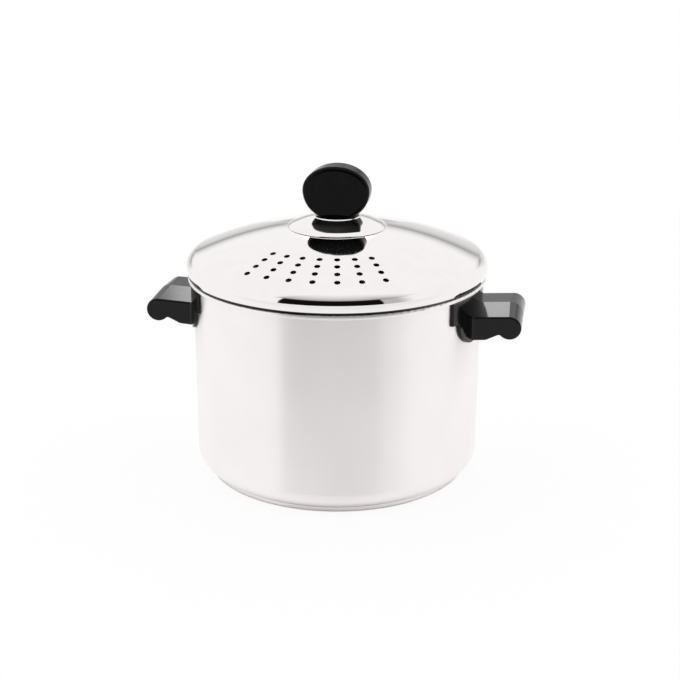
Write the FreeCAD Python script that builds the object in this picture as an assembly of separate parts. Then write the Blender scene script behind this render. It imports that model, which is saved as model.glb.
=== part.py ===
import FreeCAD, Part
import math
import os

V = FreeCAD.Vector

# A two-handled stockpot with a straining lid. Lengths are in millimetres.
# The origin is the middle of the base where it stands, +Z is up, the handles
# point along +X and -X, and the lid's holes lie on the -Y side.

# Pot
body_diameter = 222.0
body_wall = 0.8
body_corner_radius = 14.0
rim_height = 157.0
rim_flare_height = 3.6
rim_flare_reach = 1.3
rim_flange_width = 3.2
rim_flange_drop = 1.8
rim_bend_radius = 0.9
flare_bend_radius = 2.5

# Encapsulated base
base_inset = 9.0
base_height = 4.2
cap_wall = 0.8
cap_corner_radius = 1.6
core_thickness = 2.8
core_side_clearance = 0.2

# Lid: heights are above the pot's rim
lid_wall = 0.7
lid_overhang = 5.3
dome_rise = 38.7
lid_shoulder_radius = 10.8
lid_shoulder_rise = 6.5
lid_side_lean = 24.0
lip_rise = 1.6
lip_inset = 3.1
lip_bend_radius = 1.0
skirt_clearance = 0.5
skirt_bend_radius = 1.0
skirt_depth = 5.5

# Straining holes: rows concentric with the lid, in radial columns
hole_diameter = 4.5
hole_rows = 4
hole_columns = 7
hole_first_row_radius = 72.6
hole_row_pitch = 9.2
hole_column_pitch = 10.04

# Guard disc under the knob, and the knob
guard_wall = 0.8
guard_diameter = 76.0
guard_boss_diameter = 35.0
guard_boss_rise = 6.6
guard_boss_step = 0.9
guard_shoulder_inset = 3.4
guard_shoulder_drop = 6.4
guard_side_lean = 15.0
guard_crown = 0.7
guard_shoulder_bend = 2.4
guard_small_bend = 0.9

knob_width = 51.6
knob_height = 38.4
knob_widest_height = 19.2
knob_foot_width = 27.0
knob_thickness = 20.0
knob_crown_radius = 170.0
knob_edge_radius = 3.2

insert_diameter = 8.0
insert_length = 13.0
insert_recess = 0.4
insert_floor = 2.0
knob_screw_diameter = 5.0
knob_screw_engagement = 8.0
screw_hole_clearance = 0.4
screw_head_diameter = 9.0
screw_head_height = 3.0
knob_washer_diameter = 15.0
knob_washer_thickness = 1.0

# Handles: a moulded grip with an apron that lies on the pot's wall
wall_clearance = 0.2
grip_width = 64.8
grip_length = 33.8
grip_root_depth = 11.0
grip_drop = 36.0
grip_top_slope = 3.4
grip_ridge = 2.2
grip_bottom_slope = 4.0
lobe_radius = 8.9
lobe_lift = 2.6
groove_inset = 7.5
groove_slope = 26.0
groove_bend_radius = 2.5
groove_start_bend_radius = 6.0
grip_edge_radius = 1.3
grip_flare_radius = 3.0
apron_drop = 4.4
apron_thickness = 2.0
apron_half_width = 59.0
apron_step_width = 7.6
apron_step_rise = 0.4
apron_corner_radius = 19.0

# Welded bracket in each handle, with its screw from below
bracket_pad_thickness = 1.5
bracket_pad_half_width = 14.0
bracket_pad_above = 7.4
bracket_pad_below = 1.6
tongue_thickness = 3.0
tongue_half_width = 7.5
tongue_length = 12.0
pocket_clearance = 0.4
pocket_top_clearance = 3.5
handle_screw_inset = 5.2
handle_screw_diameter = 4.0
handle_screw_tip = 2.5
handle_screw_head_diameter = 7.4
handle_screw_head_height = 2.4
handle_washer_diameter = 8.2
handle_washer_thickness = 0.8
counterbore_diameter = 9.0
counterbore_depth = 4.8
counterbore_land = 3.2
slot_width = 1.2
slot_depth = 1.2

# Worked out from the sizes above
body_radius = body_diameter / 2
wall_line = body_radius - body_wall / 2
rim_line_height = rim_height - body_wall / 2
rim_inner_line = wall_line + rim_flare_reach
rim_outer_line = rim_inner_line + rim_flange_width - body_wall / 2
core_bottom = cap_wall
shell_bottom = cap_wall + core_thickness
base_radius = body_radius - base_inset
lid_radius = body_radius + lid_overhang
lid_line = rim_height + lid_wall / 2
dome_top = rim_height + dome_rise
shoulder_line_radius = lid_shoulder_radius - lid_wall / 2
shoulder_centre_x = lid_radius - lid_shoulder_radius
shoulder_centre_z = rim_height + lid_shoulder_rise
shoulder_depth = dome_top - lid_wall / 2 - shoulder_centre_z
dome_radius = (shoulder_centre_x ** 2 + shoulder_depth ** 2 - shoulder_line_radius ** 2) / (
    2 * (shoulder_depth - shoulder_line_radius)
)
dome_centre_height = dome_top - lid_wall / 2 - dome_radius
guard_radius = guard_diameter / 2
guard_boss_height = dome_top + guard_boss_rise
seat_radius = body_radius + wall_clearance
apron_top = rim_height - apron_drop
apron_lower_half_width = apron_half_width - apron_step_width
grip_root = body_radius - grip_root_depth
grip_reach = body_radius + grip_length
grip_bottom_height = apron_top - grip_drop
counterbore_height = grip_bottom_height + counterbore_depth
tongue_bottom = counterbore_height + counterbore_land
tongue_reach = body_radius + tongue_length
bracket_pad_bottom = tongue_bottom - bracket_pad_below
bracket_pad_top = tongue_bottom + bracket_pad_above
handle_screw_offset = body_radius + handle_screw_inset


def left_of(direction):
    """The direction turned a quarter turn to the left, seen in the XZ plane."""
    return V(-direction.z, 0, direction.x)


def turn_between(first, second):
    """The angle from one direction to the next, positive to the left."""
    cross = first.x * second.z - first.z * second.x
    return math.atan2(cross, first.dot(second))


def bend_edges(corner, first, second, radius):
    """Tangent points of a rounded corner, and the arc between them."""
    turn = turn_between(first, second)
    reach = radius * math.tan(abs(turn) / 2)
    start = corner - first * reach
    end = corner + second * reach
    centre = start + left_of(first) * math.copysign(radius, turn)
    outward = corner - centre
    outward.normalize()
    return start, end, Part.Arc(start, centre + outward * radius, end).toShape()


def path_edges(points, bends, offset):
    """Edges of a path of straight runs and bends, moved sideways by offset."""
    directions = []
    for here, there in zip(points, points[1:]):
        run = there - here
        run.normalize()
        directions.append(run)
    edges = []
    last = points[0] + left_of(directions[0]) * offset
    for corner, first, second, bend in zip(points[1:-1], directions, directions[1:], bends):
        turn = turn_between(first, second)
        middle = left_of(first) + left_of(second)
        middle.normalize()
        moved = corner + middle * (offset / math.cos(turn / 2))
        radius = bend - offset * math.copysign(1, turn)
        start, end, arc = bend_edges(moved, first, second, radius)
        edges.append(Part.makeLine(last, start))
        edges.append(arc)
        last = end
    edges.append(Part.makeLine(last, points[-1] + left_of(directions[-1]) * offset))
    return edges


def joined(edges):
    """The edges in order, with a straight edge closing each step between them."""
    chain = []
    for edge in edges:
        if chain:
            last = chain[-1].lastVertex(True).Point
            first = edge.firstVertex(True).Point
            if last.distanceToPoint(first) > 1e-6:
                chain.append(Part.makeLine(last, first))
        chain.append(edge)
    last = chain[-1].lastVertex(True).Point
    first = chain[0].firstVertex(True).Point
    if last.distanceToPoint(first) > 1e-6:
        chain.append(Part.makeLine(last, first))
    return chain


def turned(edges):
    """The solid made by turning a closed outline in the XZ plane about Z."""
    face = Part.Face(Part.Wire(joined(edges)))
    solid = face.revolve(V(0, 0, 0), V(0, 0, 1), 360)
    return solid


def turned_sheet(points, bends, thickness, lead=None):
    """A sheet of one thickness, turned about Z from its middle line.

    The line runs outward from the axis. Its left side is the upper one.
    lead gives, for an offset, the curved edges that come before the first run.
    """
    half = thickness / 2
    upper = path_edges(points, bends, half)
    lower = path_edges(points[::-1], bends[::-1], half)
    if lead:
        upper = lead(half, False) + upper
        lower = lower + lead(-half, True)
    return turned(upper + lower)


def cylinder(diameter, bottom, top, x=0.0, y=0.0):
    """An upright cylinder between two heights."""
    return Part.makeCylinder(diameter / 2, top - bottom, V(x, y, bottom), V(0, 0, 1))


def box(x_range, y_range, z_range):
    """A box between the given lowest and highest coordinates."""
    corner = V(x_range[0], y_range[0], z_range[0])
    size = (x_range[1] - x_range[0], y_range[1] - y_range[0], z_range[1] - z_range[0])
    return Part.makeBox(size[0], size[1], size[2], corner)


def mirrored(shape):
    """The same piece on the other side of the pot."""
    return shape.mirror(V(0, 0, 0), V(1, 0, 0))


def pot_shell():
    """The drawn vessel: floor, corner, wall, flared rim and its small flange."""
    floor = shell_bottom + body_wall / 2
    points = [
        V(0, 0, floor),
        V(wall_line, 0, floor),
        V(wall_line, 0, rim_line_height - rim_flare_height),
        V(rim_inner_line, 0, rim_line_height),
        V(rim_outer_line, 0, rim_line_height),
        V(rim_outer_line, 0, rim_line_height - rim_flange_drop),
    ]
    corner_bend = body_corner_radius - body_wall / 2
    bends = [corner_bend, flare_bend_radius, rim_bend_radius, rim_bend_radius]
    half = body_wall / 2
    inner = path_edges(points, bends, half)
    outer = path_edges(points[::-1], bends[::-1], half)
    return turned(inner + outer)


def base_core():
    """The aluminium disc between the pot's floor and the cap, rounded like the cap."""
    radius = base_radius - cap_wall - core_side_clearance
    disc = cylinder(2 * radius, core_bottom, shell_bottom)
    rim = [edge for edge in disc.Edges if abs(edge.BoundBox.ZMax - core_bottom) < 1e-6]
    return disc.makeFillet(cap_corner_radius - cap_wall / 2, rim)


def base_cap():
    """The steel cap pressed over the aluminium disc."""
    line = base_radius - cap_wall / 2
    points = [V(0, 0, cap_wall / 2), V(line, 0, cap_wall / 2), V(line, 0, base_height)]
    return turned_sheet(points, [cap_corner_radius], cap_wall)


def dome_height(radius):
    """Height of the dome's upper face at a distance from the axis."""
    return dome_centre_height + math.sqrt((dome_radius + lid_wall / 2) ** 2 - radius ** 2)


def lid_arc(centre, radius, first, last):
    """An arc of the lid's section between two angles from the vertical."""
    def point(angle):
        return centre + V(math.sin(angle), 0, math.cos(angle)) * radius
    return Part.Arc(point(first), point((first + last) / 2), point(last)).toShape()


def dome_and_shoulder(offset, inward):
    """The lid's section from the screw hole to its side, on one face."""
    hole = math.asin((knob_screw_diameter / 2 + screw_hole_clearance) / dome_radius)
    meeting = math.asin(shoulder_centre_x / (dome_radius - shoulder_line_radius))
    end = math.radians(90 + lid_side_lean)
    dome_centre = V(0, 0, dome_centre_height)
    shoulder_centre = V(shoulder_centre_x, 0, shoulder_centre_z)
    dome_reach = dome_radius + offset
    shoulder_reach = shoulder_line_radius + offset
    if inward:
        shoulder = lid_arc(shoulder_centre, shoulder_reach, end, meeting)
        return [shoulder, lid_arc(dome_centre, dome_reach, meeting, hole)]
    dome = lid_arc(dome_centre, dome_reach, hole, meeting)
    return [dome, lid_arc(shoulder_centre, shoulder_reach, meeting, end)]


def lid_blank():
    """The lid before its holes: dome, round shoulder, leaning side, lip and skirt."""
    lean = math.radians(lid_side_lean)
    side_top_x = shoulder_centre_x + shoulder_line_radius * math.cos(lean)
    side_top_z = shoulder_centre_z - shoulder_line_radius * math.sin(lean)
    lip_height = lid_line + lip_rise
    lip_line = side_top_x - (side_top_z - lip_height) * math.tan(lean)
    skirt_line = body_radius - body_wall - skirt_clearance - lid_wall / 2
    points = [
        V(side_top_x, 0, side_top_z),
        V(lip_line, 0, lip_height),
        V(lid_radius - lip_inset, 0, lid_line),
        V(skirt_line, 0, lid_line),
        V(skirt_line, 0, lid_line - skirt_depth),
    ]
    bends = [lip_bend_radius, lip_bend_radius, skirt_bend_radius]
    return turned_sheet(points, bends, lid_wall, dome_and_shoulder)


def straining_holes():
    """Punches for the holes, each square to the dome where it goes through."""
    punches = []
    for row in range(hole_rows):
        radius = hole_first_row_radius + row * hole_row_pitch
        lean = math.asin(radius / dome_radius)
        for column in range(hole_columns):
            turn = math.radians((column - (hole_columns - 1) / 2) * hole_column_pitch)
            outward = V(math.sin(turn), -math.cos(turn), 0)
            axis = outward * math.sin(lean) + V(0, 0, math.cos(lean))
            start = V(0, 0, dome_centre_height) + axis * (dome_radius - 2 * lid_wall)
            punches.append(Part.makeCylinder(hole_diameter / 2, 4 * lid_wall, start, axis))
    return Part.makeCompound(punches)


def lid_shell():
    """The straining lid, pressed from one sheet."""
    return lid_blank().cut(straining_holes())


def knob_guard():
    """The polished disc under the knob. Its rim stands on the dome."""
    line = guard_radius - guard_wall / 2
    boss_line = guard_boss_height - guard_wall / 2
    boss_edge = guard_boss_diameter / 2
    hole_edge = knob_screw_diameter / 2 + screw_hole_clearance
    shoulder_line = boss_line - guard_shoulder_drop
    shoulder_edge = guard_radius - guard_shoulder_inset
    crown_line = (boss_line - guard_boss_step + shoulder_line) / 2 + guard_crown
    lean = math.radians(guard_side_lean)
    side_top = shoulder_line - guard_shoulder_inset / 2
    foot = dome_height(guard_radius - guard_wall) + guard_wall / 2 * math.sin(lean)
    points = [
        V(hole_edge, 0, boss_line),
        V(boss_edge, 0, boss_line),
        V(boss_edge + guard_boss_step, 0, boss_line - guard_boss_step),
        V((boss_edge + shoulder_edge) / 2, 0, crown_line),
        V(shoulder_edge, 0, shoulder_line),
        V(line - (side_top - foot) * math.tan(lean), 0, side_top),
        V(line, 0, foot),
    ]
    bends = [guard_small_bend, guard_small_bend, guard_radius, guard_shoulder_bend, guard_shoulder_bend / 2]
    return turned_sheet(points, bends, guard_wall)


def drawn_upright(edges, thickness):
    """A solid from an outline in the XZ plane, half of its thickness each side."""
    face = Part.Face(Part.Wire(joined(edges)))
    solid = face.extrude(V(0, thickness, 0))
    solid.translate(V(0, -thickness / 2, 0))
    return solid


def knob_outline():
    """Half an ellipse above the widest line, and an arc to the foot each side."""
    half_width = knob_width / 2
    half_foot = knob_foot_width / 2
    foot = guard_boss_height
    waist = foot + knob_widest_height
    top = foot + knob_height
    centre = (half_width ** 2 - half_foot ** 2 - knob_widest_height ** 2) / (2 * (half_width - half_foot))
    side_radius = half_width - centre
    half_way = math.asin(knob_widest_height / side_radius) / 2
    middle_x = centre + side_radius * math.cos(half_way)
    middle_height = waist - side_radius * math.sin(half_way)
    ellipse = Part.Ellipse(V(half_width, 0, waist), V(0, 0, top), V(0, 0, waist))
    crown = Part.ArcOfEllipse(ellipse, 0, math.pi).toShape()
    left = Part.Arc(V(-half_width, 0, waist), V(-middle_x, 0, middle_height), V(-half_foot, 0, foot))
    right = Part.Arc(V(half_foot, 0, foot), V(middle_x, 0, middle_height), V(half_width, 0, waist))
    return [crown, left.toShape(), right.toShape()]


def crowned_plan():
    """A lens that bounds the knob's front and back faces, upright over its foot."""
    half = knob_thickness / 2
    reach = knob_width
    edge = half - knob_crown_radius + math.sqrt(knob_crown_radius ** 2 - reach ** 2)
    foot = guard_boss_height
    ends = [V(-reach, edge, foot), V(reach, edge, foot), V(reach, -edge, foot), V(-reach, -edge, foot)]
    front = Part.Arc(ends[2], V(0, -half, foot), ends[3]).toShape()
    back = Part.Arc(ends[0], V(0, half, foot), ends[1]).toShape()
    sides = [Part.makeLine(ends[1], ends[2]), Part.makeLine(ends[3], ends[0])]
    face = Part.Face(Part.Wire([back, sides[0], front, sides[1]]))
    return face.extrude(V(0, 0, 2 * knob_height))


def knob_body():
    """The upright knob with crowned faces and rounded edges."""
    blank = drawn_upright(knob_outline(), 2 * knob_thickness).common(crowned_plan())
    rounded = []
    for edge in blank.Edges:
        middle = edge.valueAt((edge.FirstParameter + edge.LastParameter) / 2)
        if abs(middle.y) > knob_thickness / 4 and middle.z > guard_boss_height + knob_edge_radius:
            rounded.append(edge)
    return blank.makeFillet(knob_edge_radius, rounded)


def knob():
    """The knob with the blind hole for its insert."""
    foot = guard_boss_height
    hole = cylinder(insert_diameter, foot - 1, foot + insert_recess + insert_length)
    return knob_body().cut(hole)


def knob_insert():
    """The brass insert moulded into the knob."""
    bottom = guard_boss_height + insert_recess
    blank = cylinder(insert_diameter, bottom, bottom + insert_length)
    return blank.cut(cylinder(knob_screw_diameter, bottom - 1, bottom + insert_length - insert_floor))


def washer_seat(diameter):
    """Height at which a flat washer meets the hollow side of the dome."""
    inner_radius = dome_radius - lid_wall / 2
    return dome_centre_height + math.sqrt(inner_radius ** 2 - (diameter / 2) ** 2)


def washer(diameter, bore, bottom, thickness, x=0.0):
    """A flat washer."""
    ring = cylinder(diameter, bottom, bottom + thickness, x)
    return ring.cut(cylinder(bore, bottom - 1, bottom + thickness + 1, x))


def knob_washer():
    """The washer between the knob's screw and the lid."""
    bottom = washer_seat(knob_washer_diameter) - knob_washer_thickness
    bore = knob_screw_diameter + screw_hole_clearance
    return washer(knob_washer_diameter, bore, bottom, knob_washer_thickness)


def headed_screw(diameter, head_diameter, head_height, head_top, tip, x=0.0):
    """A screw that points up, with a cross slot in the face of its head."""
    head_bottom = head_top - head_height
    head = cylinder(head_diameter, head_bottom, head_top, x)
    rim = [edge for edge in head.Edges if abs(edge.BoundBox.ZMax - head_bottom) < 1e-6]
    head = head.makeFillet(head_height / 3, rim)
    screw = head.fuse(cylinder(diameter, head_top, tip, x))
    reach = diameter / 2
    half = slot_width / 2
    heights = (head_bottom - 1, head_bottom + slot_depth)
    screw = screw.cut(box((x - reach, x + reach), (-half, half), heights))
    return screw.cut(box((x - half, x + half), (-reach, reach), heights)).removeSplitter()


def knob_screw():
    """The screw through washer, lid and guard into the insert."""
    head_top = washer_seat(knob_washer_diameter) - knob_washer_thickness
    tip = guard_boss_height + insert_recess + knob_screw_engagement
    return headed_screw(knob_screw_diameter, screw_head_diameter, screw_head_height, head_top, tip)


def groove_bend(lobe_centre, reach, start):
    """The hollow bend from the groove's slope to the lobe: its ends and its middle."""
    slope = math.radians(groove_slope)
    along = V(math.cos(slope), 0, math.sin(slope))
    base = start - left_of(along) * groove_bend_radius
    offset = base - lobe_centre
    near = offset.dot(along)
    both = reach + groove_bend_radius
    run = -near - math.sqrt(near ** 2 - offset.dot(offset) + both ** 2)
    centre = base + along * run
    slope_end = centre + left_of(along) * groove_bend_radius
    lobe_end = centre + (lobe_centre - centre) * (groove_bend_radius / both)
    middle = (slope_end - centre) + (lobe_end - centre)
    middle.normalize()
    return slope_end, centre + middle * groove_bend_radius, lobe_end


def grip_section(y):
    """The grip's outline at one place across it, highest at the ridge in its middle."""
    ridge = grip_ridge * (1 - 2 * abs(y) / grip_width)
    reach = lobe_radius + ridge / 2
    lobe_centre = V(grip_reach - reach, 0, grip_bottom_height + lobe_lift + reach)
    slope = math.radians(grip_top_slope)
    top_end = lobe_centre + V(-math.sin(slope), 0, math.cos(slope)) * reach
    top_root = V(grip_root, 0, top_end.z - (top_end.x - grip_root) * math.tan(slope))
    bottom_root = V(grip_root, 0, grip_bottom_height)
    start_x = body_radius + groove_inset
    bottom_rise = (start_x - grip_root) * math.tan(math.radians(grip_bottom_slope))
    start = V(start_x, 0, grip_bottom_height + bottom_rise)
    slope_end, groove_top, lobe_end = groove_bend(lobe_centre, reach, start)
    first = start - slope_end
    second = bottom_root - start
    first.normalize()
    second.normalize()
    bend_start, bend_end, bend = bend_edges(start, first, second, groove_start_bend_radius)
    edges = [
        Part.makeLine(top_root, top_end),
        Part.Arc(top_end, lobe_centre + V(reach, 0, 0), lobe_end).toShape(),
        Part.Arc(lobe_end, groove_top, slope_end).toShape(),
        Part.makeLine(slope_end, bend_start),
        bend,
        Part.makeLine(bend_end, bottom_root),
        Part.makeLine(bottom_root, top_root),
    ]
    wire = Part.Wire(edges)
    wire.translate(V(0, y, 0))
    return wire


def grip_plan():
    """The grip seen from above: straight sides that flare into the apron's face."""
    half = grip_width / 2
    face_radius = seat_radius + apron_thickness
    both = face_radius + grip_flare_radius
    centre_y = half + grip_flare_radius
    centre = V(math.sqrt(both ** 2 - centre_y ** 2), centre_y, 0)
    side_end = V(centre.x, half, 0)
    face_end = centre * (face_radius / both)
    middle = (side_end - centre) + (face_end - centre)
    middle.normalize()
    flare = [side_end, centre + middle * grip_flare_radius, face_end, V(grip_root, face_end.y, 0)]
    other = [V(point.x, -point.y, 0) for point in flare]
    outer = grip_reach + 1
    return Part.Face(Part.Wire([
        Part.makeLine(V(outer, -half, 0), V(outer, half, 0)),
        Part.makeLine(V(outer, half, 0), flare[0]),
        Part.Arc(flare[0], flare[1], flare[2]).toShape(),
        Part.makeLine(flare[2], flare[3]),
        Part.makeLine(flare[3], other[3]),
        Part.makeLine(other[3], other[2]),
        Part.Arc(other[2], other[1], other[0]).toShape(),
        Part.makeLine(other[0], V(outer, -half, 0)),
    ]))


def is_grip_side_edge(edge):
    """Whether an edge runs along the rim of one of the grip's side faces."""
    first, last = edge.FirstParameter, edge.LastParameter
    points = [edge.valueAt(place) for place in (first, (first + last) / 2, last)]
    on_side = all(abs(point.y) > grip_width / 2 - 1e-3 for point in points)
    outside = max(point.x for point in points) > grip_root + 1
    upright = abs(points[0].x - points[2].x) < 1e-3 and abs(points[0].y - points[2].y) < 1e-3
    return on_side and outside and not upright


def grip():
    """The part of the handle that is held, with a low ridge along its top."""
    reach = grip_width / 2 + grip_flare_radius
    block = Part.makeLoft([grip_section(-reach), grip_section(0), grip_section(reach)], True, True)
    shape = block.common(grip_plan().extrude(V(0, 0, 2 * rim_height))).Solids[0]
    return shape.makeFillet(grip_edge_radius, [edge for edge in shape.Edges if is_grip_side_edge(edge)])


def wall_ring(inner, outer, bottom, top):
    """A ring round the pot's axis."""
    ring = cylinder(2 * outer, bottom, top)
    return ring.cut(cylinder(2 * inner, bottom, top))


def apron_side(side):
    """One side of the apron's outline, from the top down to its bottom edge."""
    outer = side * apron_half_width
    edge = side * apron_lower_half_width
    low = grip_bottom_height + apron_corner_radius
    step = low + apron_step_rise
    slant = apron_corner_radius * math.sqrt(0.5)
    inner = edge - side * apron_corner_radius
    return [
        Part.makeLine(V(0, outer, apron_top), V(0, outer, step)),
        Part.makeLine(V(0, outer, step), V(0, edge, step)),
        Part.makeLine(V(0, edge, step), V(0, edge, low)),
        Part.Arc(V(0, edge, low), V(0, inner + side * slant, low - slant), V(0, inner, grip_bottom_height)).toShape(),
    ]


def apron():
    """The thin skirt on the pot's wall, broader above a small step."""
    inner = apron_lower_half_width - apron_corner_radius
    edges = apron_side(-1) + apron_side(1)
    edges.append(Part.makeLine(V(0, -apron_half_width, apron_top), V(0, apron_half_width, apron_top)))
    edges.append(Part.makeLine(V(0, -inner, grip_bottom_height), V(0, inner, grip_bottom_height)))
    face = Part.Face(Part.Wire(Part.__sortEdges__(edges)))
    ring = wall_ring(seat_radius, seat_radius + apron_thickness, grip_bottom_height - 1, apron_top + 1)
    return face.extrude(V(grip_reach, 0, 0)).common(ring)


def bracket_pocket():
    """The room for the bracket and the screw's tip behind the handle."""
    half_pad = bracket_pad_half_width + pocket_clearance
    pad_heights = (bracket_pad_bottom - pocket_clearance, bracket_pad_top + pocket_clearance)
    outer = body_radius + bracket_pad_thickness + pocket_clearance
    pad_room = cylinder(2 * outer, pad_heights[0], pad_heights[1])
    pad_room = pad_room.common(box((grip_root, outer), (-half_pad, half_pad), pad_heights))
    half_tongue = tongue_half_width + pocket_clearance
    tongue_heights = (tongue_bottom, tongue_bottom + tongue_thickness + pocket_top_clearance)
    tongue_room = box((grip_root, tongue_reach + pocket_clearance), (-half_tongue, half_tongue), tongue_heights)
    return pad_room.fuse(tongue_room)


def handle():
    """One moulded handle: grip and apron, hollowed for its fixing."""
    shape = grip().cut(cylinder(2 * seat_radius, 0, apron_top)).fuse(apron()).removeSplitter()
    shape = shape.cut(bracket_pocket())
    shape = shape.cut(cylinder(counterbore_diameter, 0, counterbore_height, handle_screw_offset))
    bore = handle_screw_diameter + screw_hole_clearance
    return shape.cut(cylinder(bore, 0, bracket_pad_top, handle_screw_offset))


def handle_bracket():
    """The bracket welded to the wall: a curved pad with a threaded tongue."""
    half_pad = bracket_pad_half_width
    outer = body_radius + bracket_pad_thickness
    pad = wall_ring(body_radius, outer, bracket_pad_bottom, bracket_pad_top)
    pad = pad.common(box((grip_root, outer), (-half_pad, half_pad), (bracket_pad_bottom, bracket_pad_top)))
    middle = body_radius + bracket_pad_thickness / 2
    heights = (tongue_bottom, tongue_bottom + tongue_thickness)
    tongue = box((middle, tongue_reach), (-tongue_half_width, tongue_half_width), heights)
    return pad.fuse(tongue).cut(cylinder(handle_screw_diameter, heights[0], heights[1], handle_screw_offset))


def handle_screw():
    """The screw that holds a handle to its bracket."""
    head_top = counterbore_height - handle_washer_thickness
    tip = tongue_bottom + tongue_thickness + handle_screw_tip
    sizes = (handle_screw_diameter, handle_screw_head_diameter, handle_screw_head_height)
    return headed_screw(*sizes, head_top, tip, handle_screw_offset)


def handle_washer():
    """The washer under a handle screw's head."""
    bottom = counterbore_height - handle_washer_thickness
    bore = handle_screw_diameter + screw_hole_clearance
    return washer(handle_washer_diameter, bore, bottom, handle_washer_thickness, handle_screw_offset)


def all_pieces():
    """Every piece of the pot by its name."""
    pieces = {
        "pot_shell": pot_shell(),
        "base_core": base_core(),
        "base_cap": base_cap(),
        "lid_shell": lid_shell(),
        "knob_guard": knob_guard(),
        "knob": knob(),
        "knob_insert": knob_insert(),
        "knob_screw": knob_screw(),
        "knob_washer": knob_washer(),
    }
    both_sides = {
        "handle_bracket": handle_bracket(),
        "handle": handle(),
        "handle_screw": handle_screw(),
        "handle_washer": handle_washer(),
    }
    for name, shape in both_sides.items():
        pieces["right_" + name] = shape
        pieces["left_" + name] = mirrored(shape)
    return pieces


os.makedirs("parts", exist_ok=True)
for piece_name, piece in all_pieces().items():
    piece.exportStep(os.path.join("parts", piece_name + ".step"))
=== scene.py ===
"""The looks of a stainless stockpot with a straining lid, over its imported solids.

Every length is in metres, in the frame of the solids: the origin is the middle
of the base, +Z is up, the handles point along X, and the lid's holes lie on
the -Y side.
"""

import enum
import logging
import math
from dataclasses import dataclass, field

import bpy
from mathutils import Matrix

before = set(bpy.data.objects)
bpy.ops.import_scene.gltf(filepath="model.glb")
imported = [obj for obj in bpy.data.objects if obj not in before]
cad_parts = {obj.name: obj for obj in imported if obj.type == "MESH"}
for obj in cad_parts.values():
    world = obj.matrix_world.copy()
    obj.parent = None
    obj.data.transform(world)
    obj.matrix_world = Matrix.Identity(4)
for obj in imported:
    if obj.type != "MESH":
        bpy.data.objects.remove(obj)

LOG = logging.getLogger("stockpot")
MM = 0.001
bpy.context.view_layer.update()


class Shade:
    """One output socket of a material, with arithmetic written as Python."""

    def __init__(self, book: "NodeBook", socket: bpy.types.NodeSocket) -> None:
        """Keep the socket and the book that its nodes are written in."""
        self.book = book
        self.socket = socket

    def _maths(self, operation: str, *values: "Shade | float") -> "Shade":
        """Add one Math node.

        Args:
            operation: The Math node's operation.
            values: Its operands, in order.

        Returns:
            The node's result.
        """
        return self.book.add("ShaderNodeMath", {"operation": operation}, *values)

    def __add__(self, other: "Shade | float") -> "Shade":
        """Return self + other."""
        return self._maths("ADD", self, other)

    __radd__ = __add__

    def __sub__(self, other: "Shade | float") -> "Shade":
        """Return self - other."""
        return self._maths("SUBTRACT", self, other)

    def __rsub__(self, other: float) -> "Shade":
        """Return other - self."""
        return self._maths("SUBTRACT", other, self)

    def __mul__(self, other: "Shade | float") -> "Shade":
        """Return self * other."""
        return self._maths("MULTIPLY", self, other)

    __rmul__ = __mul__

    def __truediv__(self, other: "Shade | float") -> "Shade":
        """Return self / other."""
        return self._maths("DIVIDE", self, other)

    def __pow__(self, other: float) -> "Shade":
        """Return self ** other."""
        return self._maths("POWER", self, other)

    def angle_with(self, other: "Shade") -> "Shade":
        """Return the angle of the point (other, self) about the origin."""
        return self._maths("ARCTAN2", self, other)

    def arcsine(self) -> "Shade":
        """Return the angle whose sine this is, in radians."""
        return self._maths("ARCSINE", self)

    def degrees(self) -> "Shade":
        """Return this angle in degrees."""
        return self * math.degrees(1.0)

    def size(self) -> "Shade":
        """Return the value without its sign."""
        return self._maths("ABSOLUTE", self)

    def kept(self, low: float, high: float) -> "Shade":
        """Return the value, kept between low and high."""
        return self._maths("MINIMUM", self._maths("MAXIMUM", self, low), high)

    def between(self, low: float, high: float) -> "Shade":
        """Fade from 0 at low to 1 at high.

        Args:
            low: The value that gives 0.
            high: The value that gives 1.

        Returns:
            A smooth mask.
        """
        settings = {"interpolation_type": "SMOOTHSTEP", "clamp": True}
        return self.book.add("ShaderNodeMapRange", settings, self, low, high, 0.0, 1.0)


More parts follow.
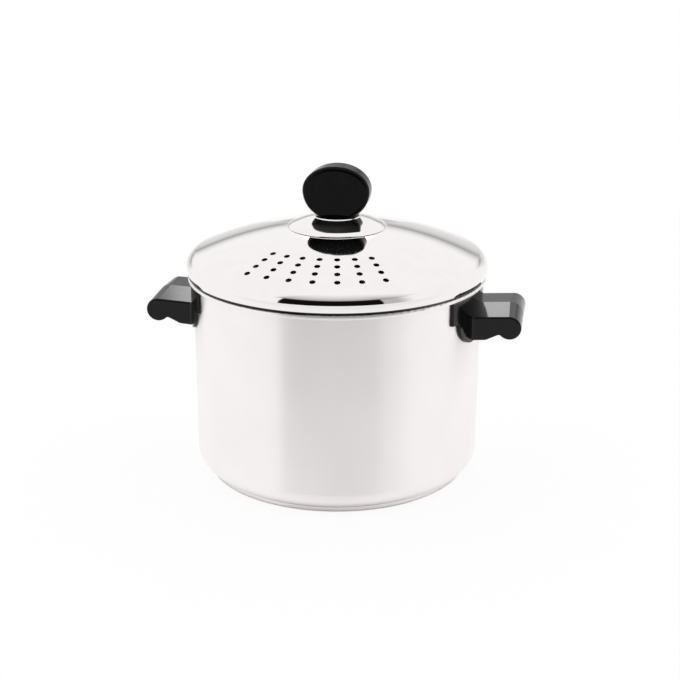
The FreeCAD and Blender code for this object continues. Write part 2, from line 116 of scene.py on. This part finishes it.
class NodeBook:
    """The node tree of one material or world."""

    def __init__(self, tree: bpy.types.NodeTree) -> None:
        """Start from an empty tree."""
        self.tree = tree
        tree.nodes.clear()

    def add(self, kind: str, settings: dict, *values: object, out: int = 0, **named: object) -> Shade:
        """Add a node, set it up and connect it.

        Args:
            kind: The node's type.
            settings: Its own properties, set before its sockets.
            values: Its first inputs, in order.
            out: The number of the output to return.
            named: Further inputs by name, with _ for a space.

        Returns:
            The chosen output.
        """
        node = self.tree.nodes.new(kind)
        for key, value in settings.items():
            setattr(node, key, value)
        for socket, value in zip(node.inputs, values):
            self._feed(socket, value)
        for key, value in named.items():
            self._feed(node.inputs[key.replace("_", " ")], value)
        return Shade(self, node.outputs[out])

    def _feed(self, socket: bpy.types.NodeSocket, value: object) -> None:
        """Link a Shade to a socket, or set its plain value."""
        if isinstance(value, Shade):
            self.tree.links.new(value.socket, socket)
        else:
            socket.default_value = value

    def paths(self, name: str) -> Shade:
        """Return one output of the Light Path node."""
        node = self.add("ShaderNodeLightPath", {}).socket.node
        return Shade(self, node.outputs[name])

    def place(self) -> Shade:
        """Return the point's place on the object, in metres."""
        return self.add("ShaderNodeTexCoord", {}, out=3)

    def parts(self, vector: Shade) -> tuple[Shade, Shade, Shade]:
        """Return a vector's three components."""
        node = self.add("ShaderNodeSeparateXYZ", {}, vector).socket.node
        return tuple(Shade(self, output) for output in node.outputs)

    def vector(self, *parts: "Shade | float") -> Shade:
        """Return the vector of three components."""
        return self.add("ShaderNodeCombineXYZ", {}, *parts)

    def noise(self, vector: Shade, scale: float, detail: float = 2.0, rough: float = 0.5) -> Shade:
        """Return grey noise, about 0.5.

        Args:
            vector: Where it is read.
            scale: Its spots per unit.
            detail: Its octaves.
            rough: How strong the finer octaves are.

        Returns:
            The noise's value.
        """
        return self.add("ShaderNodeTexNoise", {}, Vector=vector, Scale=scale, Detail=detail, Roughness=rough)

    def blend(self, mask: Shade, first: "Shade | tuple", second: "Shade | tuple") -> Shade:
        """Return the first colour where the mask is 0 and the second where it is 1."""
        settings = {"data_type": "RGBA", "clamp_factor": True}
        node = self.add("ShaderNodeMix", settings, mask).socket.node
        for socket, colour in zip(node.inputs[6:8], (first, second)):
            self._feed(socket, (*colour, 1.0) if isinstance(colour, tuple) else colour)
        return Shade(self, node.outputs[2])

    def bump(self, height: Shade, strength: float, distance: float) -> Shade:
        """Return the normal of a surface raised by height.

        Args:
            height: The height, in distances.
            strength: The share of it that shows.
            distance: One height unit, in metres.

        Returns:
            The bent normal.
        """
        return self.add("ShaderNodeBump", {}, Strength=strength, Distance=distance, Height=height)

    def finish(self, shader: Shade, kind: str = "ShaderNodeOutputMaterial") -> None:
        """Send a shader to the surface output.

        Args:
            shader: The finished shader.
            kind: The type of the output node.
        """
        node = self.tree.nodes.new(kind)
        self.tree.links.new(shader.socket, node.inputs["Surface"])


class Side(enum.Enum):
    """The pot's two sides, as the names of their pieces begin."""

    LEFT = "left"
    RIGHT = "right"


@dataclass(frozen=True)
class Finish:
    """What every finish has: a name and its shader's plain numbers."""

    name: str

    def make(self) -> bpy.types.Material:
        """Build the material.

        Returns:
            The new material.
        """
        material = bpy.data.materials.new(self.name)
        material.use_nodes = True
        book = NodeBook(material.node_tree)
        book.finish(self.shader(book))
        return material

    def shader(self, book: NodeBook) -> Shade:
        """Return the surface's shader, which each finish gives."""
        raise NotImplementedError


@dataclass(frozen=True)
class SatinSteel(Finish):
    """Steel with fine scratches that run round the pot."""

    tone: tuple[float, float, float] = (0.975, 0.945, 0.937)
    shadow_tone: tuple[float, float, float] = (0.955, 0.926, 0.918)
    gloss: float = 0.33
    stretch: float = 0.93
    stretch_turn: float = 0.25
    scratch_pitch: float = 0.35 * MM
    scratch_run: float = 1.5
    scratch_depth: float = 0.0012 * MM
    scratch_strength: float = 0.25
    scratch_dulling: float = 0.05
    patch_density: float = 20.0
    patch_run: float = 3.0
    patch_range: tuple[float, float] = (0.3, 0.7)
    patch_dulling: float = 0.04

    def shader(self, book: NodeBook) -> Shade:
        """Return brushed steel, with its scratches as fine rings."""
        x, y, z = book.parts(book.place())
        reach = (x * x + y * y) ** 0.5
        along = y.angle_with(x)
        rings = book.vector(along * self.scratch_run, reach / self.scratch_pitch, z / self.scratch_pitch)
        lines = book.noise(rings, 1.0, 3.0, 0.6)
        spread = book.vector(along * self.patch_run, reach * self.patch_density, z * self.patch_density)
        patches = book.noise(spread, 1.0, 2.0)
        tone = book.blend(patches.between(*self.patch_range), self.tone, self.shadow_tone)
        mean_dulling = (self.scratch_dulling + self.patch_dulling) / 2
        rough = lines * self.scratch_dulling + (patches * self.patch_dulling + (self.gloss - mean_dulling))
        normal = book.bump(lines, self.scratch_strength, self.scratch_depth)
        return book.add(
            "ShaderNodeBsdfPrincipled", {}, Base_Color=tone, Roughness=rough, Metallic=1.0,
            Anisotropic=self.stretch, Anisotropic_Rotation=self.stretch_turn, Normal=normal,
        )


@dataclass(frozen=True)
class PolishedSteel(Finish):
    """Mirror-polished steel with the faint haze of its last polish."""

    tone: tuple[float, float, float] = (0.91, 0.882, 0.876)
    haze_tone: tuple[float, float, float] = (0.89, 0.862, 0.856)
    gloss: float = 0.035
    haze: float = 0.03
    haze_pitch: float = 1 * MM
    haze_run: float = 4.0
    spot_pitch: float = 12 * MM
    spot_range: tuple[float, float] = (0.35, 0.75)
    ripple_pitch: float = 30 * MM
    ripple_depth: float = 0.02 * MM
    ripple_strength: float = 0.5
    # Painted shadow: a near-black tone below the given heights and beyond the given reach stands in for the
    # shade in the gap under the lid's rim. The defaults leave it off.
    painted_shade_tone: tuple[float, float, float] = (0.02, 0.019, 0.019)
    painted_shade_heights: tuple[float, float] = (-2.0, -1.0)
    painted_shade_reach: tuple[float, float] = (111.5 * MM, 112.5 * MM)

    def shader(self, book: NodeBook) -> Shade:
        """Return polished steel with slight ripples, hazy spots and a painted shadow under a rim."""
        place = book.place()
        x, y, z = book.parts(place)
        along = y.angle_with(x)
        reach = (x * x + y * y) ** 0.5
        rings = book.vector(along * self.haze_run, reach / self.haze_pitch, z / self.haze_pitch)
        polish = book.noise(rings, 1.0, 3.0)
        spots = book.noise(place, 1.0 / self.spot_pitch, 2.0)
        polished = book.blend(spots.between(*self.spot_range), self.tone, self.haze_tone)
        # Painted shadow in the gap under the lid's rim: dark below the given height and beyond the given reach.
        painted_shade = (1 - z.between(*self.painted_shade_heights)) * reach.between(*self.painted_shade_reach)
        tone = book.blend(painted_shade, polished, self.painted_shade_tone)
        rough = polish * self.haze + self.gloss
        ripples = book.noise(place, 1.0 / self.ripple_pitch, 0.0)
        normal = book.bump(ripples, self.ripple_strength, self.ripple_depth)
        return book.add(
            "ShaderNodeBsdfPrincipled", {}, Base_Color=tone, Roughness=rough, Metallic=1.0, Normal=normal,
        )


@dataclass(frozen=True)
class PlainMetal(Finish):
    """Drawn or pressed metal of small fixings, with an even grain."""

    tone: tuple[float, float, float] = (0.62, 0.62, 0.61)
    dull_tone: tuple[float, float, float] = (0.50, 0.50, 0.49)
    gloss: float = 0.34
    grain_pitch: float = 0.6 * MM
    grain_range: tuple[float, float] = (0.3, 0.75)
    grain_depth: float = 0.01 * MM
    grain_strength: float = 0.3
    grain_dulling: float = 0.12

    def shader(self, book: NodeBook) -> Shade:
        """Return plain metal with fine grain."""
        grain = book.noise(book.place(), 1.0 / self.grain_pitch, 3.0)
        tone = book.blend(grain.between(*self.grain_range), self.tone, self.dull_tone)
        normal = book.bump(grain, self.grain_strength, self.grain_depth)
        rough = grain * self.grain_dulling + self.gloss
        return book.add(
            "ShaderNodeBsdfPrincipled", {}, Base_Color=tone, Roughness=rough, Metallic=1.0, Normal=normal,
        )


@dataclass(frozen=True)
class BlackPhenolic(Finish):
    """Black moulded phenolic with a polished skin, a faint peel and, on the handles, a mould seam."""

    tone: tuple[float, float, float] = (0.003, 0.0027, 0.0028)
    worn_tone: tuple[float, float, float] = (0.006, 0.0055, 0.0056)
    gloss: float = 0.11
    refraction: float = 1.5
    face_shine: float = 0.25
    seam_height: float = -1.0
    seam_width: float = 0.35 * MM
    seam_depth: float = 0.08 * MM
    seam_dulling: float = 0.2
    peel_pitch: float = 1.6 * MM
    peel_depth: float = 0.006 * MM
    relief_strength: float = 0.35
    cloud_pitch: float = 9 * MM
    cloud_range: tuple[float, float] = (0.4, 0.8)
    cloud_dulling: float = 0.06

    def shader(self, book: NodeBook) -> Shade:
        """Return black phenolic with its peel, slight cloudiness and mould seam."""
        place = book.place()
        _, _, z = book.parts(place)
        seam = 1 - ((z - self.seam_height).size() / self.seam_width).kept(0.0, 1.0)
        peel = book.noise(place, 1.0 / self.peel_pitch, 2.0)
        cloud = book.noise(place, 1.0 / self.cloud_pitch, 3.0)
        worn = (cloud.between(*self.cloud_range) + seam).kept(0.0, 1.0)
        tone = book.blend(worn, self.tone, self.worn_tone)
        rough = cloud * self.cloud_dulling + seam * self.seam_dulling + (self.gloss - self.cloud_dulling / 2)
        normal = book.bump(peel * self.peel_depth + seam * self.seam_depth, self.relief_strength, 1.0)
        return book.add(
            "ShaderNodeBsdfPrincipled", {}, Base_Color=tone, Roughness=rough, IOR=self.refraction,
            Specular_IOR_Level=self.face_shine, Normal=normal,
        )


@dataclass
class Vessel:
    """The pot: its drawn shell and its layered base."""

    wall: Finish = field(default_factory=lambda: SatinSteel("satin_steel"))
    core: Finish = field(
        default_factory=lambda: PlainMetal("core_aluminium", (0.78, 0.78, 0.79), (0.7, 0.7, 0.71))
    )

    def build(self) -> None:
        """Dress the shell, the core and the cap."""
        steel = self.wall.make()
        dress("pot_shell", steel)
        dress("base_cap", steel)
        dress("base_core", self.core.make())


@dataclass
class StrainingLid:
    """The lid, the guard disc and the knob with its fixings."""

    # The lid's steel gets a painted shadow on its lip below 159 mm, in the gap over the pot's rim.
    sheet: Finish = field(
        default_factory=lambda: PolishedSteel("polished_steel", painted_shade_heights=(159.0 * MM, 159.5 * MM))
    )
    disc: Finish = field(default_factory=lambda: PolishedSteel("polished_guard"))
    moulding: Finish = field(
        default_factory=lambda: BlackPhenolic("black_phenolic_knob", gloss=0.08, face_shine=0.1)
    )
    brass: Finish = field(default_factory=lambda: PlainMetal("brass", (0.78, 0.62, 0.33), (0.6, 0.46, 0.22)))
    fixing: Finish = field(default_factory=lambda: PlainMetal("knob_fixing_steel"))

    def build(self) -> None:
        """Dress the lid and what is on it."""
        dress("lid_shell", self.sheet.make())
        dress("knob_guard", self.disc.make())
        dress("knob", self.moulding.make())
        dress("knob_insert", self.brass.make())
        fixing = self.fixing.make()
        dress("knob_screw", fixing)
        dress("knob_washer", fixing)


@dataclass
class SideHandles:
    """Both side handles with their brackets and screws."""

    moulding: Finish = field(default_factory=lambda: BlackPhenolic("black_phenolic", seam_height=126 * MM))
    fixing: Finish = field(default_factory=lambda: PlainMetal("handle_fixing_steel"))

    def build(self) -> None:
        """Dress the two handles alike."""
        black = self.moulding.make()
        fixing = self.fixing.make()
        for side in Side:
            dress(f"{side.value}_handle", black)
            for part in ("handle_bracket", "handle_screw", "handle_washer"):
                dress(f"{side.value}_{part}", fixing)


def dress(node: str, material: bpy.types.Material) -> None:
    """Give a node of the frame its material.

    Args:
        node: The node's name.
        material: The finish that covers it.
    """
    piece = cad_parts[node]
    for place in piece.material_slots:
        place.material = material
    LOG.info("%s is dressed in %s", node, material.name)


@dataclass
class Studio:
    """The white table and the white room, with the dark end that the steel mirrors.

    Angles are in degrees. Turns are measured from the camera's side, to its right.
    """

    camera_side: float = 10.0
    table_radius: float = 1.9
    table_corners: int = 96
    table_forward: float = 0.95
    table_tone: float = 0.96
    table_glow: float = 0.86
    table_white: float = 1.03
    # Painted shade: seen in the steel, the table's glow is dimmer towards the camera, where less light falls.
    front_shade_tone: float = 0.9
    front_reach: tuple[float, float] = (0.1, 0.5)
    contact_reach: tuple[float, float] = (0.102, 0.112)
    dark_turns: tuple[float, float] = (-43.0, 33.5)
    dark_top: float = 33.0
    dark_top_fade: tuple[float, float] = (-2.0, 4.0)
    dark_depth: float = 0.995
    edge_fade: float = 1.0
    grey_turns: tuple[float, float] = (44.0, 60.0)
    grey_light: float = 0.52
    upper_turns: tuple[float, float] = (-54.0, 74.0)
    upper_light: float = 0.2
    upper_start: tuple[float, float] = (-4.0, 2.0)
    upper_top: float = 84.0
    upper_curve: float = 0.5
    back_turns: tuple[float, float] = (138.0, 154.0)
    line_height: float = 10.5
    line_lean: float = 10.0
    line_curve: float = 2.0
    line_above: float = 8.0
    line_below: float = 7.0
    line_core: float = 0.37
    shade_below: tuple[float, float] = (-21.0, -6.0)
    shade_share: float = 0.25
    softbox_turns: tuple[float, float] = (174.0, 175.2)
    softbox_heights: tuple[float, float] = (21.0, 30.0)
    softbox_light: float = 3.8
    softbox_fade: float = 1.0
    card_bottom: tuple[float, float] = (1.0, 4.0)
    card_light: float = 0.6

    def build(self) -> None:
        """Make the surroundings."""
        self._world()
        self._table()

    def _dark_end(self, turn: Shade, height: Shade) -> Shade:
        """Return the light left by the dark screen behind the camera.

        Args:
            turn: The direction's turn from the camera's side.
            height: Its height angle.

        Returns:
            Its share of plain white.
        """
        low, high = self.dark_turns
        top_start, top_end = self.dark_top_fade
        under = 1 - height.between(self.dark_top + top_start, self.dark_top + top_end)
        dark = turn.between(low - self.edge_fade, low) * (1 - turn.between(high, high + self.edge_fade)) * under
        grey = turn.between(high, high + self.edge_fade) * (1 - turn.between(*self.grey_turns)) * under
        rise = ((height - self.dark_top) / (self.upper_top - self.dark_top)).kept(0.0, 1.0) ** self.upper_curve
        left, right = self.upper_turns
        sides = turn.between(left, low) * (1 - turn.between(high, right))
        start, end = self.upper_start
        upper = sides * height.between(self.dark_top + start, self.dark_top + end) * (1 - rise)
        grey_end = 1 - grey * (1 - self.grey_light)
        return (1 - dark * self.dark_depth) * grey_end * (1 - upper * (1 - self.upper_light))

    def _far_wall(self, away: Shade, height: Shade, right: Shade) -> Shade:
        """Return the light left by the dark line where the far wall meets the table.

        Args:
            away: The direction's turn from the camera's side, without its sign.
            height: Its height angle.
            right: Its part to the camera's right.

        Returns:
            Its share of plain white.
        """
        above = height - (right * self.line_lean + self.line_height)
        over = (1 - above / self.line_above).kept(0.0, 1.0) ** self.line_curve
        core = (1 + above / self.line_below).kept(0.0, 1.0) ** self.line_curve * self.line_core
        under = above.between(*self.shade_below) * self.shade_share + core
        seen = away.between(*self.back_turns) * (1 - away.between(*self.softbox_turns))
        return 1 - over * under * seen

    def _softbox(self, away: Shade, height: Shade) -> Shade:
        """Return the extra light of the softbox behind the pot, over a grey card.

        Args:
            away: The direction's turn from the camera's side, without its sign.
            height: Its height angle.

        Returns:
            Its share of plain white, above 1 in the softbox.
        """
        bottom, top = self.softbox_heights
        fade = self.softbox_fade
        behind = away.between(*self.softbox_turns)
        box = behind * height.between(bottom, bottom + fade) * (1 - height.between(top - fade, top))
        card = behind * height.between(*self.card_bottom) * (1 - height.between(bottom - fade, bottom))
        return 1 + box * (self.softbox_light - 1) - card * (1 - self.card_light)

    def _world(self) -> None:
        """Surround the object with plain white light and one dark end."""
        world = bpy.data.worlds.new("white_room")
        world.use_nodes = True
        bpy.context.scene.world = world
        book = NodeBook(world.node_tree)
        x, y, z = book.parts(book.add("ShaderNodeTexCoord", {}, out=0))
        side = math.radians(self.camera_side)
        right = x * math.cos(side) + y * math.sin(side)
        towards = x * math.sin(side) - y * math.cos(side)
        turn = right.angle_with(towards).degrees()
        height = z.arcsine().degrees()
        away = turn.size()
        back = self._far_wall(away, height, right)
        light = self._dark_end(turn, height) * back * self._softbox(away, height)
        camera = book.paths("Is Camera Ray")
        glow = book.add("ShaderNodeBackground", {}, (1.0, 1.0, 1.0, 1.0), camera + light * (1 - camera))
        book.finish(glow, "ShaderNodeOutputWorld")

    def _table(self) -> None:
        """Lay a round white table that keeps a soft shadow; in reflections it glows, with painted shade towards
        the camera.
        """
        side = math.radians(self.camera_side)
        middle = (math.sin(side) * self.table_forward, -math.cos(side) * self.table_forward, 0.0)
        bpy.ops.mesh.primitive_circle_add(
            vertices=self.table_corners, radius=self.table_radius, fill_type="NGON", location=middle,
        )
        bpy.ops.object.transform_apply(location=True)
        table = bpy.context.object
        table.name = "table"
        material = bpy.data.materials.new("white_table")
        material.use_nodes = True
        book = NodeBook(material.node_tree)
        x, y, _ = book.parts(book.place())
        mirrored = book.paths("Is Glossy Ray")
        clear = ((x * x + y * y) ** 0.5).between(*self.contact_reach)
        front_shade = (x * math.sin(side) - y * math.cos(side)).between(*self.front_reach)
        share = (book.paths("Is Camera Ray") + mirrored * clear) * self.table_glow
        # Painted shade: for mirrored rays the table glows dimmer towards the camera, standing in for the weaker
        # light there.
        tone = book.blend(mirrored * front_shade, (1.0, 1.0, 1.0), (self.front_shade_tone,) * 3)
        matt = book.add("ShaderNodeBsdfDiffuse", {}, (self.table_tone,) * 3 + (1.0,))
        glow = book.add("ShaderNodeEmission", {}, tone, self.table_white)
        book.finish(book.add("ShaderNodeMixShader", {}, share, matt, glow))
        table.data.materials.append(material)


@dataclass
class PhotoCamera:
    """The photograph's camera, from its outlines of the pot."""

    azimuth: float = 10.0
    distance: float = 1.0427
    height: float = 0.4553
    pitch_down: float = 18.79
    turned_right: float = 0.122
    lens_over_width: float = 1397.1 / 680.0
    sensor: float = 36.0

    def build(self) -> None:
        """Place the camera and make it the scene's."""
        data = bpy.data.cameras.new("photo_camera")
        data.sensor_width = self.sensor
        data.lens = self.lens_over_width * self.sensor
        camera = bpy.data.objects.new("photo_camera", data)
        bpy.context.scene.collection.objects.link(camera)
        turn = math.radians(self.azimuth)
        camera.location = (math.sin(turn) * self.distance, -math.cos(turn) * self.distance, self.height)
        camera.rotation_euler = (
            math.radians(90.0 - self.pitch_down), 0.0, math.radians(self.azimuth - self.turned_right),
        )
        bpy.context.scene.camera = camera


def main() -> None:
    """Build the stockpot's looks and its studio."""
    logging.basicConfig(level=logging.INFO)
    bpy.ops.object.select_all(action="DESELECT")
    for group in (Vessel(), StrainingLid(), SideHandles(), Studio(), PhotoCamera()):
        group.build()
        LOG.info("%s is done", type(group).__name__)
    bpy.context.scene.view_settings.view_transform = "Standard"


if __name__ == "__main__":
    main()
